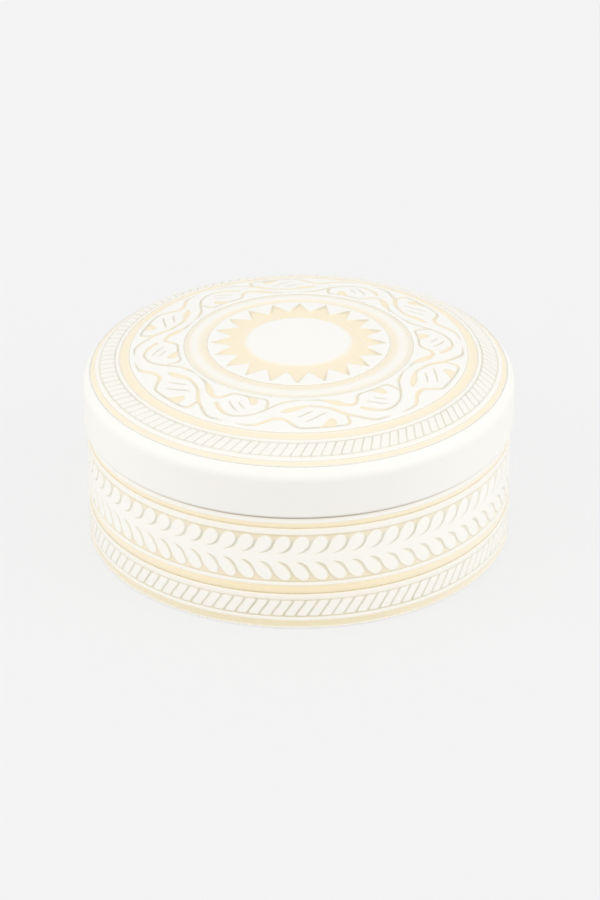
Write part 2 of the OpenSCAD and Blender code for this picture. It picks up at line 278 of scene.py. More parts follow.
def inlay(name, path, normal, angle, depth, wash, ink_and_shade, poles=None):
    """Carved ring: the point at row j and column i is path[j] - depth[j, i] * normal[j], turned by
    angle[j, i]. Two more rows, sunk below its edges, close it underneath, and wash gathers down its walls.
    With poles it is a disc round the axis."""
    depth = np.broadcast_to(depth, angle.shape)
    edge = [len(path) - 1] if poles is not None else [len(path) - 1, 0]
    rz = path[:, None] - depth[..., None] * normal[:, None]
    under = np.stack([path[k] - SUNK * normal[k] for k in edge])
    if poles is not None:
        under = np.array([[path[-1, 0], poles[1]], [1.0, poles[1]]])
        edge = [len(path) - 1] * 2
    rz = np.concatenate([rz, np.broadcast_to(under[:, None], (2, angle.shape[1], 2))])
    angle = np.concatenate([angle, angle[edge]])
    r, z = rz[..., 0], rz[..., 1]
    marks = {
        "wash": np.concatenate([wash, np.full_like(wash[edge], WALL_WASH)]),
        "ink_and_shade": np.concatenate([ink_and_shade, np.zeros_like(ink_and_shade[edge])]),
    }
    grid = np.stack([r * np.cos(angle), r * np.sin(angle), z], -1)
    sharp = [len(path) - 1, len(path)] + ([len(path) + 1] if poles is None else [])
    return skin(name, grid, marks, sharp, poles)


def arris(levels, radius, low=True, high=True):
    """Depth of a quarter round along the edges of a band: e - sqrt(e^2 - (e - s)^2) within e of an edge."""
    s = np.full(len(levels), radius)
    s = np.minimum(s, levels - levels[0]) if low else s
    s = np.minimum(s, levels[-1] - levels) if high else s
    return radius - np.sqrt(radius ** 2 - (radius - s) ** 2)


def ledge(levels):
    """Wash that settles on a band's upper edge: 0.45 e^(-s / 0.16) at s millimetres below it."""
    return 0.45 * np.exp(-(levels[-1] - levels) / 0.16)[:, None]


def side_light_wash_share(angle):
    """Share of the wash left on the side's plain bands. It is painted light: the wash is lighter at the
    left and right, where the side lights wash it out, and lightest at the right, so it goes as 0.38 - 0.1
    cos a + 0.62 sin^2 a."""
    return 0.38 - 0.1 * np.cos(angle) + 0.62 * np.sin(angle) ** 2


def side_light_grey_share(angle):
    """Share of the grey left in the side's carving, as painted light: the side lights wash it out at the
    left and right, so it goes as 0.52 + 0.48 sin^2 a.
    """
    return 0.52 + 0.48 * np.sin(angle) ** 2


def flowing(marks, steps=4):
    """Smooth line through listed marks: between two of them runs the Catmull-Rom cubic of the four
    nearest, in a few steps."""
    marks = np.array(marks, float)
    p = np.concatenate([2 * marks[:1] - marks[1:2], marks, 2 * marks[-1:] - marks[-2:-1]])
    a, b, c, d = (p[k:len(p) - 3 + k, None] for k in range(4))
    t = (np.arange(steps) / steps)[None, :, None]
    line = b + t * (c - a) / 2
    line = line + t ** 2 * (a - 2.5 * b + 2 * c - d / 2) + t ** 3 * (1.5 * (b - c) + (d - a) / 2)
    return np.concatenate([line.reshape(-1, marks.shape[1]), marks[-1:]])


def outline_distance(points, outline):
    """Signed distance from points to a closed outline: the least distance to its sides, taken as negative
    where a line drawn to the right crosses the sides an odd number of times."""
    a = outline[None]
    side = np.roll(outline, -1, axis=0)[None] - a
    to = points[:, None] - a
    t = np.clip((to * side).sum(-1) / np.maximum((side ** 2).sum(-1), 1e-12), 0, 1)
    distance = np.sqrt((((to - t[..., None] * side) ** 2).sum(-1)).min(1))
    below = to[..., 1] < 0
    crosses = below != (to[..., 1] < side[..., 1])
    reach = side[..., 0] * to[..., 1] / np.where(side[..., 1] == 0, 1e-12, side[..., 1])
    inside = (crosses & (to[..., 0] < reach)).sum(1) % 2 == 1
    return np.where(inside, -distance, distance)


def stroke_distance(points, line):
    """Signed distance from points to a gouge stroke: the distance to its line less its half-width there,
    which changes evenly along each length. The half-width at the nearest place comes with it."""
    a, b = line[None, :-1], line[None, 1:]
    side = (b - a)[..., :2]
    to = points[:, None] - a[..., :2]
    t = np.clip((to * side).sum(-1) / np.maximum((side ** 2).sum(-1), 1e-12), 0, 1)
    half = a[..., 2] + t * (b - a)[..., 2]
    distance = np.sqrt(((to - t[..., None] * side) ** 2).sum(-1)) - half
    nearest = distance.argmin(1)[:, None]
    return np.take_along_axis(distance, nearest, 1)[:, 0], np.take_along_axis(half, nearest, 1)[:, 0]


def rows_between(*stops):
    """Levels from one stop to the next, each given with the number of steps that lead up to it."""
    levels = [np.array([stops[0]], float)]
    for count, stop in stops[1:]:
        levels.append(np.linspace(levels[-1][-1], stop, count + 1)[1:])
    return np.concatenate(levels)


def away_from(low, edge):
    """Stops that leave a band's lower edge in the edge's small distances."""
    return [(1, low + s) for s in edge]


def up_to(high, edge):
    """Stops that reach a band's upper edge in the same distances."""
    return [(1, high - s) for s in (*reversed(edge), 0)]


def gouged(d, depth, wall):
    """Depth of a cut with sloping walls: full where it is a wall's width inside its edge, and a soft
    shoulder, 0.05 (1 - d / 0.3)^2, on the land beside it."""
    return depth * ramp(-d, 0, wall) + 0.05 * (1 - np.clip(d / 0.3, 0, 1)) ** 2 * (d > 0)


def smeared(d, strength, width):
    """Wash smeared on the land beside a cut: strength * e^(-d / width)."""
    return strength * np.exp(-np.maximum(d, 0) / width) * (d > 0)


# Edges of the cut beside an upper leaf, in millimetres from the leaf's axis and above the table: up the
# leaf's own side, then down the next leaf and along the stem
UPPER_CUT = [
    (-2.1, 29.42), (-1.06, 29.8), (0.0, 30.22), (1.1, 30.98), (1.85, 31.83), (2.46, 32.87),
    (2.68, 33.92), (2.6, 34.7), (2.34, 35.35), (1.85, 35.84), (1.2, 36.14), (0.5, 36.24), (0.5, 36.6),
]
UPPER_CUT_FAR = [
    (6.78, 36.6), (6.78, 36.24), (6.1, 36.1), (5.55, 35.8), (5.0, 35.28), (4.4, 34.55), (3.95, 33.8),
    (3.55, 32.87), (3.15, 31.83), (2.5, 30.9), (1.5, 30.2), (0.3, 29.72), (-0.85, 29.47),
]
# The same beside a lower leaf: down the leaf's own side, then up the next leaf
LOWER_CUT = [
    (-1.95, 26.45), (-1.27, 26.08), (-0.23, 25.35), (0.81, 24.5), (1.54, 23.65), (2.17, 22.75),
    (2.5, 21.95), (2.72, 21.2), (2.65, 20.55), (2.35, 19.95), (1.85, 19.55), (1.3, 19.36), (0.9, 19.32),
    (0.9, 19.0),
]
LOWER_CUT_FAR = [
    (7.18, 19.0), (7.18, 19.32), (6.55, 19.42), (5.9, 19.72), (5.2, 20.22), (4.4, 20.95), (3.8, 21.75),
    (3.4, 22.5), (3.05, 23.2), (2.65, 24.08), (2.0, 25.0), (1.05, 25.77), (0.0, 26.22), (-1.3, 26.5),
]
# How far along the height the cuts lie from these marks, how much narrower they are on each side, and the
# height and half-width of the lines along the band's edges
CUT_DROP = -0.22
CUT_TRIM = 0.05
UPPER_LINE = (36.44, 0.27)
LOWER_LINE = (18.65, 0.26)


def upright(levels):
    """Path of points up the body's cylinder, at these heights, with their normals."""
    path = np.stack([np.full(len(levels), BODY_R), levels], -1)
    return path, np.tile([1.0, 0.0], (len(levels), 1))


def over_crown(levels):
    """Path of points out over the lid's crown, at these radii, with their normals."""
    return np.stack([levels, crown(levels)], -1), crown_normal(levels)


def laurel(name, levels, near, far, line, tones):
    """Half of the laurel band on the side: levels up a cylinder, cut where the signed distance to the
    outlines beside the leaves, repeated at each leaf's pitch, or to the line along the band's edge, is
    negative. The tones are the cream and the grey of the narrow cuts by the stem. The cuts open towards the
    line, and there they take more cream and less grey."""
    pitch = 2 * math.pi * BODY_R / LEAVES
    x = (np.arange(LEAF_COLUMNS) / LEAF_COLUMNS - 0.5) * pitch
    points = np.stack(np.meshgrid(x, levels), -1).reshape(-1, 2)
    outline = np.concatenate([flowing(near), flowing(far)])
    outline[:, 1] += CUT_DROP
    line_z, line_half = line
    d = np.minimum.reduce([outline_distance(points, outline + [k * pitch, 0]) for k in (-2, -1, 0, 1)])
    d = np.minimum(d + CUT_TRIM, np.abs(points[:, 1] - line_z) - line_half)
    d = np.tile(d.reshape(len(levels), LEAF_COLUMNS), (1, LEAVES))
    opened = 1 - ramp(np.abs(levels - line_z), 0.7, 3.6)[:, None]
    lined = 1 - ramp(np.abs(levels - line_z), line_half - 0.1, line_half + 0.1)[:, None]
    cream, grey = tones
    start = math.radians(LEAF_TURN) - math.pi / LEAVES
    angle = np.tile(once_round(LEAF_COLUMNS * LEAVES, start), (len(levels), 1))
    drift = 1 + wander(angle[0], (7, 19, 31), 0.14)
    upper = levels[0] == STEM_Z
    depth = gouged(d, *LEAF_CUT) * drift + arris(levels, SIDE_SOFT, not upper, upper)[:, None]
    wash = (cream + (OPEN_CREAM - cream) * opened) * ramp(-d, -0.14, 0.16) + smeared(d, 0.16, 0.35)
    # Painted light: the wash and the grey are lighter at the left and right, where the side lights wash
    # them out
    wash = (0.08 + wash + ledge(levels) * upper) * side_light_wash_share(angle) * drift
    ink_and_shade = (grey + (OPEN_GREY - grey) * opened + 0.1 * lined) * ramp(-d, -0.12, 0.14)
    ink_and_shade = (ink_and_shade + 0.012 * ramp(d, 0.3, 1.0)) * side_light_grey_share(angle) * drift
    return inlay(name, *upright(levels), angle, depth, wash, ink_and_shade)


def rope(name, path, normal, levels, band, strands, turn, lean, cut, soft, tones, side):
    """Band of slanting strands. A strand is a rounded box in its own leaning frame: a is the distance
    across it and t along the band, and d = |max(q, 0)| + min(max(q), 0) - c, with
    q = (|a|, |t|) - half sizes + c. The strands bend upright near their ends, as lean * t - bend * t^3. The
    tones are the cream and the grey of the cuts and the wash smeared beside them. On the side, wash pools
    at the strands' feet."""
    middle = (band[0] + band[1]) / 2
    half = (band[1] - band[0]) / 2
    end_gap = 0.52
    share = np.arange(STRAND_COLUMNS) / STRAND_COLUMNS - 0.5
    # The columns are closer together towards a strand's edges than over its middle
    share = share + 0.055 * np.sin(4 * math.pi * share) / 2 + 0.05 * np.sin(2 * math.pi * share)
    t = (levels - middle)[:, None]
    reach = np.clip(t, -half, half)
    bend = math.copysign(0.012, lean)
    lean_shift = math.tan(math.radians(lean)) * reach - bend * reach ** 3
    pitch = 2 * math.pi * path[:, :1] / strands
    a = share[None] * pitch
    corner = 0.45
    tilt = math.cos(math.radians(lean))
    q1 = np.abs(a) * tilt - (pitch * tilt - cut) / 2 + corner
    q2 = np.abs(t) - (half - end_gap) + corner + 0 * a
    d = np.hypot(np.maximum(q1, 0), np.maximum(q2, 0)) + np.minimum(np.maximum(q1, q2), 0) - corner
    d = -np.minimum(d, half - np.abs(t))
    d = np.tile(d, (1, strands))
    place = (np.arange(strands)[:, None] + share[None]).reshape(1, -1) * 2 * math.pi / strands
    angle = math.radians(turn) + place + lean_shift / path[:, :1]
    drift = 1 + wander(place[0], (9, 23, 41), 0.16)
    depth = gouged(d, *ROPE_CUT) * drift + arris(levels, soft)[:, None]
    cream, grey, beside = tones
    # Painted light: on the side the wash and the grey are lighter at the left and right, where the side
    # lights wash them out
    wash_share, kept = (side_light_wash_share(angle), side_light_grey_share(angle)) if side else (1, 1)
    ends = ramp(np.abs(t), half - 0.9, half - 0.3)
    pooled = (0.12 + 0.5 * side * (t < 0) * ramp(-d, 0.05, 0.3)) * ends
    wash = 0.06 + (cream + pooled) * ramp(-d, -0.14, 0.16) + smeared(d, beside, 0.4)
    wash = (wash + side * ledge(levels)) * wash_share * drift
    face = 0.04 * ramp(d, 0.2, 0.7) * (np.abs(t) < half)
    ink_and_shade = (grey * (1 - 0.2 * ends * (t > 0)) * ramp(-d, -0.12, 0.16) + face) * kept * drift
    return inlay(name, path, normal, angle, depth, wash, ink_and_shade)


# Strokes of an outer leaf of the vine: share of a wave, share of the band outwards, half-width in
# millimetres
OUTER_BACK = [
    (0.066, 0.985, 0.08), (0.111, 0.98, 0.22), (0.156, 0.963, 0.4), (0.182, 0.932, 0.55),
    (0.214, 0.848, 0.62), (0.252, 0.743, 0.66), (0.288, 0.682, 0.7), (0.323, 0.672, 0.66),
    (0.355, 0.712, 0.6), (0.387, 0.817, 0.5), (0.420, 0.925, 0.42), (0.452, 0.965, 0.34),
    (0.5, 0.965, 0.3), (0.56, 0.965, 0.3), (0.629, 0.965, 0.28), (0.693, 0.962, 0.34),
    (0.722, 0.94, 0.5), (0.734, 0.87, 0.55), (0.739, 0.775, 0.5), (0.737, 0.66, 0.5),
]
OUTER_BELLY = [
    (0.312, 0.452, 0.1), (0.336, 0.412, 0.75), (0.365, 0.37, 1.1), (0.41, 0.305, 1.1),
    (0.45, 0.248, 0.75), (0.5, 0.21, 0.5), (0.539, 0.225, 0.48), (0.584, 0.261, 0.48),
    (0.629, 0.313, 0.5), (0.667, 0.393, 0.58), (0.699, 0.492, 0.66), (0.731, 0.6, 0.66),
    (0.77, 0.695, 0.5), (0.802, 0.772, 0.45), (0.841, 0.872, 0.45), (0.879, 0.955, 0.4),
    (0.912, 0.982, 0.3), (0.95, 0.978, 0.2), (0.986, 0.985, 0.06),
]
OUTER_TIP = [
    (0.545, 0.965), (0.575, 0.88), (0.6, 0.78), (0.617, 0.71), (0.632, 0.685), (0.648, 0.715),
    (0.658, 0.8), (0.655, 0.9), (0.65, 0.965),
]
OUTER_VEINS = [
    [(0.478, 0.76, 0.16), (0.5, 0.715, 0.22), (0.54, 0.63, 0.24), (0.58, 0.545, 0.24), (0.617, 0.48, 0.12)],
    [(0.428, 0.6, 0.12), (0.465, 0.53, 0.22), (0.5, 0.45, 0.22), (0.532, 0.39, 0.12)],
]
# Strokes of an inner leaf, which is the outer one turned over, half a wave on
INNER_BACK = [
    (-0.03, 1.0, 0.06), (0.03, 0.995, 0.16), (0.08, 0.985, 0.3), (0.122, 0.955, 0.45),
    (0.165, 0.9, 0.85), (0.2, 0.83, 1.15), (0.235, 0.76, 1.1), (0.277, 0.688, 0.75), (0.315, 0.66, 0.6),
    (0.347, 0.7, 0.58), (0.367, 0.781, 0.55), (0.39, 0.89, 0.45), (0.42, 0.958, 0.38),
    (0.457, 0.975, 0.3), (0.51, 0.97, 0.3), (0.57, 0.97, 0.3), (0.64, 0.975, 0.26),
    (0.672, 0.962, 0.34), (0.697, 0.9, 0.46), (0.707, 0.79, 0.46), (0.706, 0.66, 0.42),
]
INNER_BELLY = [
    (0.358, 0.5, 0.55), (0.374, 0.455, 0.68), (0.404, 0.375, 0.68), (0.44, 0.3, 0.62),
    (0.476, 0.252, 0.5), (0.514, 0.232, 0.4), (0.56, 0.262, 0.33), (0.611, 0.332, 0.32),
    (0.656, 0.435, 0.33), (0.701, 0.578, 0.42), (0.74, 0.705, 0.34), (0.785, 0.845, 0.4),
    (0.82, 0.912, 0.5), (0.85, 0.945, 0.48), (0.881, 0.975, 0.32), (0.91, 0.992, 0.2),
    (0.965, 1.0, 0.07),
]
INNER_TIP = [
    (0.52, 0.97), (0.54, 0.89), (0.563, 0.81), (0.582, 0.735), (0.602, 0.705), (0.62, 0.74),
    (0.626, 0.83), (0.618, 0.91), (0.6, 0.97),
]
INNER_VEINS = [
    [(0.43, 0.66, 0.14), (0.465, 0.56, 0.22), (0.5, 0.465, 0.22), (0.537, 0.4, 0.12)],
    [(0.498, 0.7, 0.14), (0.53, 0.62, 0.22), (0.562, 0.53, 0.12)],
]
# How much wider than its marks a stroke is cut, on each side
BLUNT = 0.07


def vine_place(marks, shift, flip):
    """Plan points of marks on the vine's band: the angle is the share of a wave, past the shift, and the
    radius is the band's inner edge plus the share of its width. A flipped mark takes 1 - share."""
    low, high = VINE_BAND
    angle = (marks[:, 0] + shift) * 2 * math.pi / WAVES
    r = low + (high - low) * (1 - marks[:, 1] if flip else marks[:, 1])
    return np.concatenate([np.stack([r * np.cos(angle), r * np.sin(angle)], -1), marks[:, 2:]], -1)


def vine(name, levels):
    """Vine scroll on the crown: one wave of it is cut where the signed distance to its strokes and drops,
    drawn in plan, is negative, and it is repeated once for each wave. Narrow strokes take less of the cream
    and more of the grey, which there is partly dark wash and partly painted shade."""
    angle = np.arange(VINE_COLUMNS) / VINE_COLUMNS * 2 * math.pi / WAVES
    turn, r = np.meshgrid(angle, levels)
    points = np.stack([r * np.cos(turn), r * np.sin(turn)], -1).reshape(-1, 2)
    # Starting values, which the nearest stroke or drop replaces. A drop counts as a stroke 1.2 millimetres
    # to a side
    d = np.full(len(points), 9.0)
    half = np.full(len(points), 1.0)
    lobes = [(OUTER_BACK, OUTER_BELLY, OUTER_TIP, OUTER_VEINS, False, k) for k in (-1, 0, 1)]
    lobes += [(INNER_BACK, INNER_BELLY, INNER_TIP, INNER_VEINS, True, k - 0.5) for k in (0, 1, 2)]
    for back, belly, tip, veins, flip, shift in lobes:
        found = outline_distance(points, vine_place(flowing(tip), shift, flip))
        half = np.where(found < d, 1.2, half)
        d = np.minimum(d, found)
        for stroke in (back, belly, *veins):
            found, width = stroke_distance(points, vine_place(flowing(stroke), shift, flip))
            found = found - BLUNT
            half = np.where(found < d, width, half)
            d = np.minimum(d, found)
    d, half = (np.tile(v.reshape(len(levels), VINE_COLUMNS), (1, WAVES)) for v in (d, half))
    angle = np.tile(once_round(VINE_COLUMNS * WAVES, math.radians(WAVE_TURN)), (len(levels), 1))
    drift = 1 + wander(angle, (5, 13, 29), 0.12)
    depth = gouged(d, *VINE_CUT) * drift + arris(levels, SOFT)[:, None]
    narrow = 1 - ramp(half, 0.3, 0.62)
    wash = OPEN_CREAM * ramp(-d, -0.14, 0.2) * (1 - 0.4 * narrow) + smeared(d, 0.12, 0.35)
    ink_and_shade = ramp(-d, -0.12, 0.12) * (0.2 * narrow + 0.09 * (1 - ramp(-d, 0.1, 0.6))) * drift
    return inlay(name, *over_crown(levels), angle, depth, wash, ink_and_shade)


def sun(name, levels):
    """Disc with the sun: between the boss and the edge r = root + length * (1 - |s|) ^ power, where s runs
    from -1 to 1 over each ray's pitch, the crown is cut. The boss fades into the cut over a soft slope."""
    s = 2 * (np.arange(SUN_COLUMNS) / SUN_COLUMNS) - 1
    length = RAY_TIP_R - RAY_ROOT_R
    edge = RAY_ROOT_R + length * (1 - np.abs(s)) ** RAY_POWER
    pitch = math.pi * np.maximum(levels, 1) / RAYS
    slope = RAY_POWER * length * (1 - np.abs(s[None])) ** (RAY_POWER - 1) / pitch[:, None]
    d = (levels[:, None] - edge[None]) / np.hypot(1, slope)
    field = ramp(levels, BOSS_R - 1.5, BOSS_R + 1.1)[:, None]
    side = ramp(s, -0.15, 0.35)[None]
    tip = ramp(levels, RAY_ROOT_R, RAY_TIP_R)[:, None]
    cut = gouged(d, *SUN_CUT) * field
    wash = OPEN_CREAM * ramp(-d, -0.12, 0.14) * field + smeared(d, 0.1, 0.4)
    # Painted shade: the grey is stronger along one side of each ray and towards its tip
    ink_and_shade = ramp(-d, -0.12, 0.1) * (1 - ramp(-d, 0.2, 1.3)) * (0.14 + 0.42 * side) * tip
    start = math.radians(RAY_TURN) - math.pi / RAYS
    angle = np.tile(once_round(SUN_COLUMNS * RAYS, start), (len(levels), 1))
    depth, wash, ink_and_shade = (np.tile(v + 0 * d, (1, RAYS)) for v in (cut, wash, ink_and_shade))
    depth = depth + arris(levels, SOFT, low=False)[:, None]
    poles = (float(crown(0.0)), float(crown(levels[-1])) - SUNK)
    return inlay(name, *over_crown(levels), angle, depth, wash, ink_and_shade, poles=poles)


def felt_disc(name, radius, low, high, rings):
    """Round of felt: from the middle of its underside out, round a soft edge, and in over its top, which
    lies 0.09 (n + 0.4) lower, where n is the mean of seeded waves."""
    soft = (high - low) * 0.42
    middle = (low + high) / 2
    bend = np.linspace(-0.5, 0.5, 9) * math.pi
    r = np.concatenate([np.linspace(1, radius - soft, rings), radius - soft + soft * np.cos(bend),
                        np.linspace(radius - soft, 1, rings)])
    z = np.concatenate([np.full(rings, low), middle + (high - low) / 2 * np.sin(bend),
                        np.full(rings, high)])
    keep = np.append(True, np.hypot(np.diff(r), np.diff(z)) > 1e-3)
    r, z = r[keep, None], z[keep, None]
    angle = once_round(FELT_COLUMNS)
    x, y = r * np.cos(angle), r * np.sin(angle)
    count = 24
    waves = CHANCE.normal(0, 0.5, (count, 2))
    phase = CHANCE.uniform(0, 2 * math.pi, count)
    nap = np.sin(x[..., None] * waves[:, 0] + y[..., None] * waves[:, 1] + phase).mean(-1)
    z = z - 0.09 * (nap + 0.4) * (z > middle)
    return skin(name, np.stack([x, y, z], -1), {}, poles=(low, float(z[-1].mean())))


def felt_strip(name, inner, outer, low, high):
    """Felt glued round the inside of the wall: a loop of inner face, rounded edges and outer face, turned
    round the axis. Its face waves by a product of two sines, and dips by 0.35 e^(-(s / 0.5)^2) at s
    millimetres from the closed butt joint at the back, where the strip's two ends meet."""
    soft = (outer - inner) / 2
    bend = np.linspace(0, math.pi, 9)
    rows = 30
    r = np.concatenate([np.full(rows, inner), inner + soft - soft * np.cos(bend), np.full(rows, outer),
                        outer - soft + soft * np.cos(bend)])
    z = np.concatenate([np.linspace(low + soft, high - soft, rows), high - soft + soft * np.sin(bend),
                        np.linspace(high - soft, low + soft, rows), low + soft - soft * np.sin(bend)])
    keep = np.hypot(r - np.roll(r, 1), z - np.roll(z, 1)) > 1e-3
    r, z = r[keep, None], z[keep, None]
    angle = once_round(STRIP_COLUMNS)
    facing = r < inner + soft * 0.9
    joint = np.abs(np.angle(np.exp(1j * (angle - math.pi / 2)))) * inner
    wave = 0.05 * np.sin(z * 0.9 + 7 * angle) * np.sin(13 * angle)
    r = r + facing * (wave + 0.35 * np.exp(-(joint / 0.5) ** 2))
    return skin(name, np.stack([r * np.cos(angle), r * np.sin(angle), z + 0 * angle], -1), {})


class Wire:
    """A shader socket that takes Python arithmetic: each operator adds a Math node."""

    def __init__(self, paint, socket):
        self.paint = paint
        self.socket = socket

    def __add__(self, other):
        return self.paint.maths("ADD", self, other)

    def __radd__(self, other):
        return self.paint.maths("ADD", other, self)

    def __sub__(self, other):
        return self.paint.maths("SUBTRACT", self, other)

    def __rsub__(self, other):
        return self.paint.maths("SUBTRACT", other, self)

    def __mul__(self, other):
        return self.paint.maths("MULTIPLY", self, other)

    def __rmul__(self, other):
        return self.paint.maths("MULTIPLY", other, self)

    def clipped(self):
        """The value kept between 0 and 1."""
        return self.paint.maths("ADD", self, 0.0, use_clamp=True)


class Paint:
    """Node tree of one finish."""

    def __init__(self, tree):
        self.tree = tree
        tree.nodes.clear()

    def node(self, kind, sockets, output=0, **settings):
        """Adds a node of a type, with its settings first and then the values or links of its sockets."""
        made = self.tree.nodes.new(kind)
        for name, value in settings.items():
            setattr(made, name, value)
        for key, value in sockets.items():
            if isinstance(value, Wire):
                self.tree.links.new(value.socket, made.inputs[key])
            else:
                made.inputs[key].default_value = value
        return Wire(self, made.outputs[output]) if len(made.outputs) else None

    def maths(self, operation, a, b, use_clamp=False):
        """Result of a Math node."""
        return self.node("ShaderNodeMath", {0: a, 1: b}, operation=operation, use_clamp=use_clamp)

    def tint(self, share, a, b):
        """Colour that goes from a to b with the share."""
        return self.node("ShaderNodeMix", {0: share, 6: a, 7: b}, output=2, data_type="RGBA")

    def place(self):
        """Object coordinates, in metres."""
        return self.node("ShaderNodeTexCoord", {}, output=3)

    def noise(self, where, scale, detail=2.0, roughness=0.5):
        """Noise about 0.5."""
        return self.node("ShaderNodeTexNoise", {"Vector": where, "Scale": scale, "Detail": detail,
                                                "Roughness": roughness})

    def mark(self, name):
        """Value of a mark that the piece's points carry."""
        return self.node("ShaderNodeAttribute", {}, output=2, attribute_name=name)


def rgb(red, green, blue):
    """Linear colour of an sRGB colour in steps of 255: ((c + 0.055) / 1.055) ^ 2.4 above the short straight
    part."""
    c = np.array([red, green, blue]) / 255
    return (*np.where(c <= 0.04045, c / 12.92, ((c + 0.055) / 1.055) ** 2.4).tolist(), 1.0)


def new_paint(name):
    """New material with an empty node tree."""
    material = bpy.data.materials.new(name)
    material.use_nodes = True
    return material, Paint(material.node_tree)


def finish(colour, roughness, height, strength, distance, **constants):
    """Closes a finish: a Principled shader with its colour and roughness, and a Bump node for its grain."""
    paint = colour.paint
    bump = paint.node("ShaderNodeBump", {"Strength": strength, "Distance": distance, "Height": height})
    shader = paint.node("ShaderNodeBsdfPrincipled", {"Base Color": colour, "Roughness": roughness,
                                                     "Normal": bump, **constants})
    paint.node("ShaderNodeOutputMaterial", {"Surface": shader})


# Colours of the washed resin: its clouds, the cream wash, the grey of dark wash and painted shade, and the
# painted shade
WHITE_COOL = rgb(251, 251, 247)
WHITE_WARM = rgb(253, 250, 244)
CREAM = rgb(254, 238, 202)
INK_AND_SHADE = rgb(176, 182, 168)
SHADE = rgb(136, 118, 90)
# Those of the plain resin, and of the floor and the backdrop
PLAIN_DARK = rgb(244, 240, 230)
PLAIN_LIGHT = rgb(249, 246, 238)
FLOOR_GREY = rgb(236, 236, 236)
BACKDROP = rgb(243, 243, 243)


def carved_resin():
    """Warm white cast resin. The mark wash lays cream into the cuts, and a grey mark darkens the cuts and
    their corners, partly as dark wash and partly as painted shade. Noise breaks both up, as a wiped wash
    is, and a fine grain roughens the face. The mark shade is painted shade: it greys the resin most of all
    at the joint, as the shadow under the lid's edge, and a little on the lid's skirt, strongest at the
    front and back."""
    material, paint = new_paint("carved_resin_washed")
    where = paint.place()
    cloud = paint.noise(where, 40.0, 3.0)
    mottle = paint.noise(where, 620.0, 3.0, 0.6)
    grain = paint.noise(where, 3600.0, 2.0)
    wash = paint.mark("wash")
    ink_and_shade = paint.mark("ink_and_shade")
    white = paint.tint(cloud, WHITE_COOL, WHITE_WARM)
    wiped = (wash * (0.8 + 0.4 * mottle)).clipped()
    pooled = (ink_and_shade * (0.72 + 0.56 * mottle)).clipped()
    inked_and_shaded = paint.tint(pooled, paint.tint(wiped, white, CREAM), INK_AND_SHADE)
    colour = paint.tint(paint.mark("shade"), inked_and_shaded, SHADE)
    rough = 0.4 + 0.12 * mottle + 0.16 * wash
    finish(colour, rough, 0.6 * grain + 0.4 * mottle, 0.12, 0.00012)
    return material


def plain_resin():
    """The same resin where it is neither carved nor washed: matt, a little darker, with a faint skin."""
    material, paint = new_paint("plain_resin_matt")
    where = paint.place()
    cloud = paint.noise(where, 60.0, 4.0)
    grain = paint.noise(where, 2600.0, 3.0)
    colour = paint.tint(cloud, PLAIN_DARK, PLAIN_LIGHT)
    finish(colour, 0.5 + 0.16 * grain, grain, 0.15, 0.00015)
    return material


def felt(name, dark, light):
    """Pressed wool: short fibres, from two noises drawn out along and across a warped field, over a cloud
    of thick and thin."""
    material, paint = new_paint(name)
    where = paint.place()
    warp = paint.node("ShaderNodeTexNoise", {"Vector": where, "Scale": 260.0, "Detail": 2.0}, output=1)
    push = paint.node("ShaderNodeVectorMath", {0: warp, 3: 0.006}, operation="SCALE")
    bent = paint.node("ShaderNodeVectorMath", {0: where, 1: push}, operation="ADD")
    drawn = [paint.node("ShaderNodeMapping", {"Vector": bent, "Scale": scale})
             for scale in ((1.0, 0.22, 1.0), (0.22, 1.0, 1.0))]
    fibres = [paint.noise(field, 1500.0, 5.0, 0.7) for field in drawn]
    cloud = paint.noise(where, 180.0, 3.0)
    pile = 0.5 * fibres[0] + 0.5 * fibres[1]
    colour = paint.tint((0.5 + 3.0 * (pile - 0.5) + 0.6 * (cloud - 0.5)).clipped(), dark, light)
    sheen = {"Sheen Weight": 0.25, "Sheen Roughness": 0.5}
    finish(colour, 0.86 + 0.1 * pile, pile, 0.55, 0.0004, **sheen)
    return material


# Finish of each material slot
FINISHES = {
    "carved_resin": carved_resin(),
    "plain_resin": plain_resin(),
    "felt_lining": felt("lining_felt", rgb(206, 190, 158), rgb(230, 218, 192)),
    "felt_pad": felt("pad_felt", rgb(186, 170, 140), rgb(214, 200, 172)),
}


def dress(piece, slot, body, node):
    """Gives a piece its finish and slot, its body, and the construction node that it stands for."""
    piece.data.materials.append(FINISHES[slot])
    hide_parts(node)
    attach(piece, body)
    return piece


def crown_corner(r, deep, wash, ink_and_shade, ease):
    """Corner of the lid's outline, as deep below the crown as given, along the crown's normal."""
    out, up = crown_normal(np.array(float(r)))
    return (r - deep * out, float(crown(r)) - deep * up, wash, ink_and_shade, 0, ease)


def shoulder_corner(a):
    """Corner of the lid's outline on the crown's own curve: R cos^(2/p) a out and rise * sin^(2/p) a up.
    The skirt's painted shade fades over the first part of it."""
    r = LID_R * math.cos(a) ** (2 / CROWN_POWER)
    z = SHOULDER_Z + CROWN_RISE * math.sin(a) ** (2 / CROWN_POWER)
    return (r, z, 0, 0, SKIRT_SHADE * (1 - min(a / SHOULDER_FADE, 1)), 0)


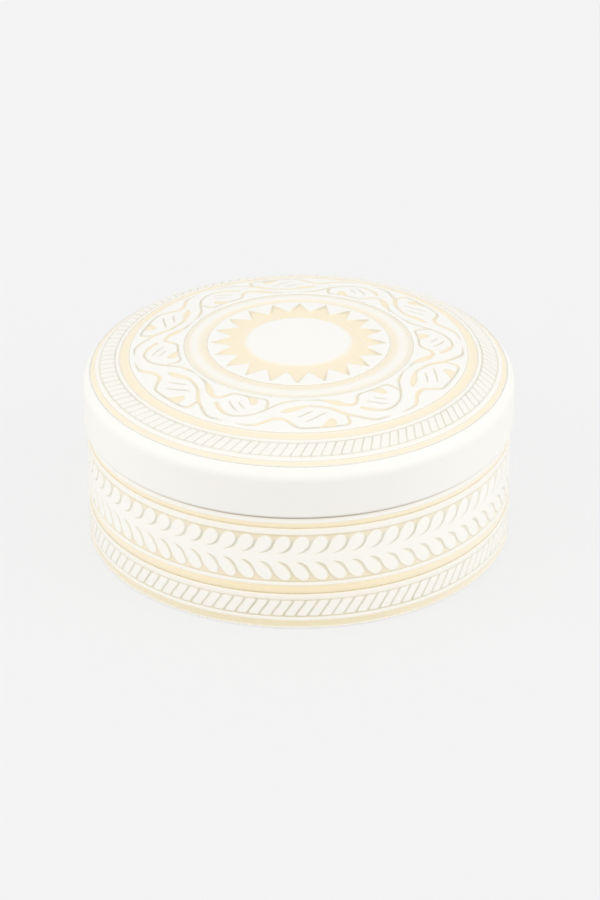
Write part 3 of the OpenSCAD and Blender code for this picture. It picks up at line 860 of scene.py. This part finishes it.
def lid_outline():
    """Outline of the lid's turned shell: out along the hollow's ceiling and down its side, round the mouth,
    up the skirt and in over the crown, with its grooves and a seat for each carved ring. Each row is r, z,
    wash, ink, shade and the easing radius."""
    bend_r, bend_z = HOLLOW_R - HOLLOW_ROUND, CEILING_Z - HOLLOW_ROUND
    outline = [(1, CEILING_Z, 0, 0, 0, 0), (CEILING_FLAT_R, CEILING_Z, 0, 0, 0, 0)]
    outline += [
        (bend_r + HOLLOW_ROUND * math.cos(a), bend_z + HOLLOW_ROUND * math.sin(a), 0, 0, 0, 0)
        for a in np.radians(np.linspace(90, 0, 11))
    ]
    outline += [
        # The shade in these rows is painted shadow along the joint under the lid's edge, fading up into the
        # skirt's lighter painted shade
        (HOLLOW_R, JOINT_Z, 0, 0, 0.3, 0.5),
        (LID_R - 0.5, JOINT_Z, 0, 0, 0.75, 0),
        (LID_R - 0.1, JOINT_Z + 0.1, 0, 0, 0.6, 0),
        (LID_R, JOINT_Z + 0.35, 0, 0, 0.4, 0),
        (LID_R, JOINT_Z + 0.7, 0, 0, 0.16, 0),
        (LID_R, JOINT_Z + 1.1, 0, 0, SKIRT_SHADE, 0),
    ]
    outline += [shoulder_corner(a) for a in np.radians(np.linspace(0, 16, 17))]
    outline += [
        crown_corner(RIM_GROOVE[1] + 0.15, 0, 0.1, 0, 0.2),
        crown_corner(RIM_GROOVE[1] - 0.15, CARVE * 0.6, 0.5, 0, 0.2),
        crown_corner(RIM_GROOVE[0] + 0.7, CARVE * 0.8, 0.7, 0, 0.3),
        crown_corner(RIM_GROOVE[0] + PLAY, EDGE, 0.4, 0, 0),
        crown_corner(RIM_GROOVE[0] + PLAY, SEAT, 0, 0, 0),
        crown_corner(WIDE_GROOVE[1] - PLAY, SEAT, 0, 0, 0),
        crown_corner(WIDE_GROOVE[1] - PLAY, EDGE, 0.4, 0.02, 0),
        crown_corner(WIDE_GROOVE[1] - 0.8, CARVE, 0.7, 0, 0.4),
        crown_corner(WIDE_GROOVE[0] + 1.0, CARVE, 0.7, 0, 0.4),
        crown_corner(WIDE_GROOVE[0] + PLAY, EDGE, 0.3, 0, 0),
        crown_corner(WIDE_GROOVE[0] + PLAY, SEAT, 0, 0, 0),
        crown_corner(NARROW_GROOVE[1] - PLAY, SEAT, 0, 0, 0),
        crown_corner(NARROW_GROOVE[1] - PLAY, EDGE - 0.02, 0.35, 0.04, 0),
        crown_corner(NARROW_GROOVE[0] + 0.8, 0.3, 0.45, 0.12, 0.3),
    ]
    bead_low, bead_high = SUN_GROOVE[1], NARROW_GROOVE[0]
    outline += [
        crown_corner(bead_high - 0.1, 0.06, 0.25, 0, 0.4),
        crown_corner((bead_low + bead_high) / 2, 0, 0.06, 0, 0.3),
        crown_corner(bead_low + 0.3, 0.04, 0.2, 0, 0.3),
        crown_corner(bead_low - 0.5, 0.3, 0.5, 0, 0.3),
        crown_corner(SUN_GROOVE[0] + 0.8, CARVE, 0.62, 0.05, 0.3),
        crown_corner(SUN_GROOVE[0] + PLAY, EDGE, 0.5, 0.08, 0),
        crown_corner(SUN_GROOVE[0] + PLAY, SEAT, 0, 0, 0),
    ]
    return outline + [(1, outline[-1][1], 0, 0, 0, 0)]


def wall_outline():
    """Outline of the body's turned wall: down its outer side, with a seat for each carved ring, and up
    inside past the rebates that hold the base disc and the neck ring."""
    deep = BODY_R - CARVE
    seat = BODY_R - SEAT
    return [
        # The shade at the wall's top is painted shadow along the joint under the lid's edge
        (REBATE_R, JOINT_Z, 0, 0, 0.3, 0.15),
        (BODY_R, JOINT_Z, 0, 0, 0.8, 0.4),
        (BODY_R, JOINT_Z - 0.62, 0.3, 0, 0.72, 0),
        (BODY_R, JOINT_Z - 0.8, 0.35, 0, 0.03, 0),
        (BODY_R, JOINT_Z - 1.2, 0.1, 0, 0, 0),
        (BODY_R, COVE[1] - 0.5, 0.03, 0, 0, 0.2),
        (BODY_R - 0.38, COVE[1] - 0.95, 0.75, 0, 0, 0.2),
        (deep, COVE[1] - 1.6, 0.95, 0, 0, 0.3),
        (deep, COVE[0] + 0.5, 0.95, 0.1, 0, 0.1),
        (deep, COVE[0] + PLAY, 0.95, 0.4, 0, 0),
        (seat, COVE[0] + PLAY, 0, 0, 0, 0),
        (seat, SIDE_GROOVE[1] - PLAY, 0, 0, 0, 0),
        (BODY_R - 0.2, SIDE_GROOVE[1] - PLAY, 0.6, 0, 0, 0),
        (deep, SIDE_GROOVE[1] - 0.9, 1, 0, 0, 0.4),
        (deep, SIDE_GROOVE[0] + 1.2, 1, 0.08, 0, 0),
        (deep, SIDE_GROOVE[0] + 0.55, 1, 0.14, 0, 0),
        (deep, SIDE_GROOVE[0] + PLAY, 1, 0.45, 0, 0),
        (seat, SIDE_GROOVE[0] + PLAY, 0, 0, 0, 0),
        (seat, FOOT_COVE[1] - PLAY, 0, 0, 0, 0),
        (BODY_R - 0.12, FOOT_COVE[1] - PLAY, 0.3, 0, 0, 0),
        (BODY_R - 0.35, FOOT_COVE[1] - 0.7, 1, 0.12, 0, 0.3),
        (deep, FOOT_COVE[1] - 1.4, 1, 0.18, 0, 0.3),
        (deep, FOOT_COVE[0] + 0.3, 0.85, 0.2, 0, 0.1),
        (deep, FOOT_COVE[0], 0.6, 0.15, 0, 0.08),
        (BODY_R, FOOT_COVE[0], 0.1, 0.05, 0, 0.1),
        (BODY_R, FOOT_Z, 0.1, 0.1, 0, 0.3),
        (REBATE_R, FOOT_Z, 0, 0, 0, 0.1),
        (REBATE_R, BASE_TOP, 0, 0, 0, 0.1),
        (BORE_R, BASE_TOP, 0, 0, 0, 0.1),
        (BORE_R, NECK_LOW, 0, 0, 0, 0.1),
        (REBATE_R, NECK_LOW, 0, 0, 0, 0.1),
    ]


def crown_rows(low, high, stops):
    """Radii of a carving's rows on the crown, from groove to groove, close together along both edges."""
    return rows_between(low, *away_from(low, (*CROWN_EDGE, SOFT)), *stops, (2, high - SOFT),
                        *up_to(high, CROWN_EDGE))


def make_lid_shell():
    """Turned shell of the lid."""
    outline = lid_outline()
    shell = turned("lid_turned_shell", outline, TURNED_COLUMNS, poles=(CEILING_Z, outline[-1][1]))
    return dress(shell, "carved_resin", "lid", "lid_shell")


def make_sun():
    """Carved disc in the middle of the lid."""
    high = SUN_GROOVE[0]
    levels = rows_between(1, *SUN_STOPS, (1, high - SOFT), *up_to(high, CROWN_EDGE))
    dress(sun("sun_carving", levels), "carved_resin", "lid", "lid_shell")


def make_vine():
    """Carved vine round the sun."""
    levels = crown_rows(NARROW_GROOVE[1], WIDE_GROOVE[0], VINE_STOPS)
    dress(vine("vine_carving", levels), "carved_resin", "lid", "lid_shell")


def make_lid_rope():
    """Carved rope round the lid's shoulder."""
    levels = crown_rows(WIDE_GROOVE[1], RIM_GROOVE[0], LID_ROPE_STOPS)
    ring = rope("lid_rope_carving", *over_crown(levels), levels, LID_ROPE_BAND, LID_STRANDS,
                LID_STRAND_TURN, LID_LEAN, LID_STRAND_CUT, SOFT, LID_ROPE_TONES, False)
    dress(ring, "carved_resin", "lid", "lid_shell")


def make_lid_felt():
    """Felt on the ceiling of the lid's hollow."""
    disc = felt_disc("lid_felt", LID_FELT_R, CEILING_Z - FELT, CEILING_Z, 24)
    dress(disc, "felt_lining", "lid", "lid_lining")


def make_wall():
    """Turned wall of the body."""
    wall = turned("wall_turned_shell", wall_outline(), TURNED_COLUMNS, left=side_light_wash_share)
    return dress(wall, "carved_resin", "body", "body_wall")


def make_laurel():
    """Both halves of the laurel band, above and below its stem."""
    top = COVE[0]
    levels = rows_between(STEM_Z, *UPPER_STOPS, (1, top - SOFT), *up_to(top, SIDE_EDGE))
    half = laurel("laurel_upper_carving", levels, UPPER_CUT, UPPER_CUT_FAR, UPPER_LINE, UPPER_TONES)
    dress(half, "carved_resin", "body", "body_wall")
    low = SIDE_GROOVE[1]
    levels = rows_between(low, *away_from(low, SIDE_EDGE), *LOWER_STOPS)
    half = laurel("laurel_lower_carving", levels, LOWER_CUT, LOWER_CUT_FAR, LOWER_LINE, LOWER_TONES)
    dress(half, "carved_resin", "body", "body_wall")


def make_side_rope():
    """Carved rope above the foot."""
    low, top = FOOT_COVE[1], SIDE_GROOVE[0]
    levels = rows_between(low, *away_from(low, SIDE_EDGE), *SIDE_ROPE_STOPS, (1, top - SOFT),
                          *up_to(top, SIDE_EDGE))
    ring = rope("side_rope_carving", *upright(levels), levels, SIDE_ROPE_BAND, SIDE_STRANDS,
                SIDE_STRAND_TURN, SIDE_LEAN, SIDE_STRAND_CUT, SIDE_SOFT, SIDE_ROPE_TONES, True)
    dress(ring, "carved_resin", "body", "body_wall")


def make_neck():
    """Ring that centres the lid, with a chamfer round its outer top edge."""
    outline = [
        (BORE_R, NECK_LOW, 0, 0, 0, 0.1),
        (NECK_R, NECK_LOW, 0, 0, 0, 0.1),
        (NECK_R, NECK_TOP - NECK_LEAD, 0, 0, 0, 0.3),
        (NECK_R - NECK_LEAD, NECK_TOP, 0, 0, 0, 0.3),
        (BORE_R, NECK_TOP, 0, 0, 0, 0.3),
    ]
    ring = turned("neck_turned_ring", outline, TURNED_COLUMNS)
    dress(ring, "plain_resin", "body", "neck_ring")


def make_base():
    """Disc in the wall's foot."""
    outline = [
        (1, BASE_LOW, 0, 0, 0, 0),
        (BASE_R, BASE_LOW, 0, 0, 0, 0.3),
        (BASE_R, BASE_TOP, 0, 0, 0, 0.2),
        (1, BASE_TOP, 0, 0, 0, 0),
    ]
    disc = turned("base_turned_disc", outline, BASE_COLUMNS, poles=(BASE_LOW, BASE_TOP))
    return dress(disc, "plain_resin", "body", "base_disc")


def make_body_felts():
    """Felt round the wall's inside, felt on the base disc, and the pad under it."""
    strip = felt_strip("wall_felt", WALL_FELT_R, WALL_FELT_R + FELT, BASE_TOP, WALL_FELT_TOP)
    dress(strip, "felt_lining", "body", "wall_lining")
    floor = felt_disc("floor_felt", FLOOR_FELT_R, BASE_TOP, BASE_TOP + FELT, 26)
    dress(floor, "felt_lining", "body", "floor_lining")
    pad = felt_disc("foot_felt_pad", PAD_R, 0.0, BASE_LOW, 24)
    dress(pad, "felt_pad", "body", "base_pad")


# The floor: half its width in metres, the share of its own even grey in what the camera sees of it, and the
# strength of that grey
FLOOR_HALF = 4.0
FLOOR_EVEN = 0.8
FLOOR_GLOW = 1.02

# Brightness of the sky at the horizon and straight up
SKY_LOW = 1.01
SKY_HIGH = 0.795
# The two suns: direction round from +X and height above the table in degrees, strength, width in degrees
SUNS = {"left_sun": (200, 24, 0.465, 50), "right_sun": (-20, 24, 0.52, 50)}

# The photograph's view: how far the camera stands from the point on the axis that it looks at, and how high
# that point is, in metres; its tilt and its roll in degrees; the lens and the picture's longer side in
# millimetres; and the picture's shift as a share of that side
VIEW_DISTANCE = 1.5
VIEW_HEIGHT = 0.029155
VIEW_TILT = 28.35
VIEW_ROLL = -0.208
LENS = 170.96
SENSOR = 36.0
SHIFT = 0.00114


def make_floor():
    """Pale floor: the camera sees mostly its own even grey, and the rest is lit, so it keeps the shadow."""
    corners = [(x * FLOOR_HALF, y * FLOOR_HALF, 0) for x, y in ((-1, -1), (1, -1), (1, 1), (-1, 1))]
    mesh = bpy.data.meshes.new("pale_floor")
    mesh.from_pydata(corners, [], [(0, 1, 2, 3)])
    floor = bpy.data.objects.new("pale_floor", mesh)
    bpy.context.scene.collection.objects.link(floor)
    material, paint = new_paint("pale_floor_paint")
    seen = paint.node("ShaderNodeLightPath", {}, output=0)
    lit = paint.node("ShaderNodeBsdfDiffuse", {"Color": FLOOR_GREY})
    even = paint.node("ShaderNodeEmission", {"Color": BACKDROP, "Strength": FLOOR_GLOW})
    mixed = paint.node("ShaderNodeMixShader", {0: seen * FLOOR_EVEN, 1: lit, 2: even})
    paint.node("ShaderNodeOutputMaterial", {"Surface": mixed})
    mesh.materials.append(material)


def make_sky():
    """Pale sky, dimmer overhead, which the camera, mirrors and clear things see as an even backdrop."""
    world = bpy.data.worlds.new("studio")
    bpy.context.scene.world = world
    world.use_nodes = True
    paint = Paint(world.node_tree)
    camera, glossy, clear = (paint.node("ShaderNodeLightPath", {}, output=ray) for ray in (0, 3, 6))
    up = paint.node("ShaderNodeSeparateXYZ", {0: paint.node("ShaderNodeTexCoord", {})}, output=2)
    sky = paint.tint(up.clipped(), (SKY_LOW, SKY_LOW, SKY_LOW, 1.0), (SKY_HIGH, SKY_HIGH, SKY_HIGH, 1.0))
    shown = paint.tint((camera + glossy + clear).clipped(), sky, BACKDROP)
    back = paint.node("ShaderNodeBackground", {"Color": shown, "Strength": 1.0})
    paint.node("ShaderNodeOutputWorld", {"Surface": back})


def make_suns():
    """Two broad suns, from the left and from the right."""
    for name, (azimuth, height, energy, width) in SUNS.items():
        lamp = bpy.data.lights.new(name, "SUN")
        lamp.energy = energy
        lamp.angle = math.radians(width)
        lamp_object = bpy.data.objects.new(name, lamp)
        a, h = math.radians(azimuth), math.radians(height)
        to = Vector((math.cos(a) * math.cos(h), math.sin(a) * math.cos(h), math.sin(h)))
        lamp_object.rotation_euler = to.to_track_quat("Z", "Y").to_euler()
        bpy.context.scene.collection.objects.link(lamp_object)


def make_camera():
    """Camera with a long lens, in the photograph's view."""
    data = bpy.data.cameras.new("photo_camera")
    data.sensor_width = SENSOR
    data.lens = LENS
    data.shift_x = SHIFT
    data.clip_start = 0.05
    data.clip_end = 20.0
    camera = bpy.data.objects.new("photo_camera", data)
    tilt = math.radians(VIEW_TILT)
    back = Vector((0, -math.cos(tilt), math.sin(tilt)))
    roll = Matrix.Rotation(math.radians(VIEW_ROLL), 4, "Z")
    place = Matrix.Translation(Vector((0, 0, VIEW_HEIGHT)) + back * VIEW_DISTANCE)
    camera.matrix_world = place @ (back.to_track_quat("Z", "Y").to_matrix().to_4x4() @ roll)
    bpy.context.scene.collection.objects.link(camera)
    bpy.context.scene.camera = camera


lid_shell = make_lid_shell()
make_sun()
make_vine()
make_lid_rope()
make_lid_felt()

body_wall = make_wall()
make_laurel()
make_side_rope()
make_neck()
base_disc = make_base()
make_body_felts()

make_floor()
make_sky()
make_suns()
make_camera()
bpy.context.scene.view_settings.view_transform = "Standard"
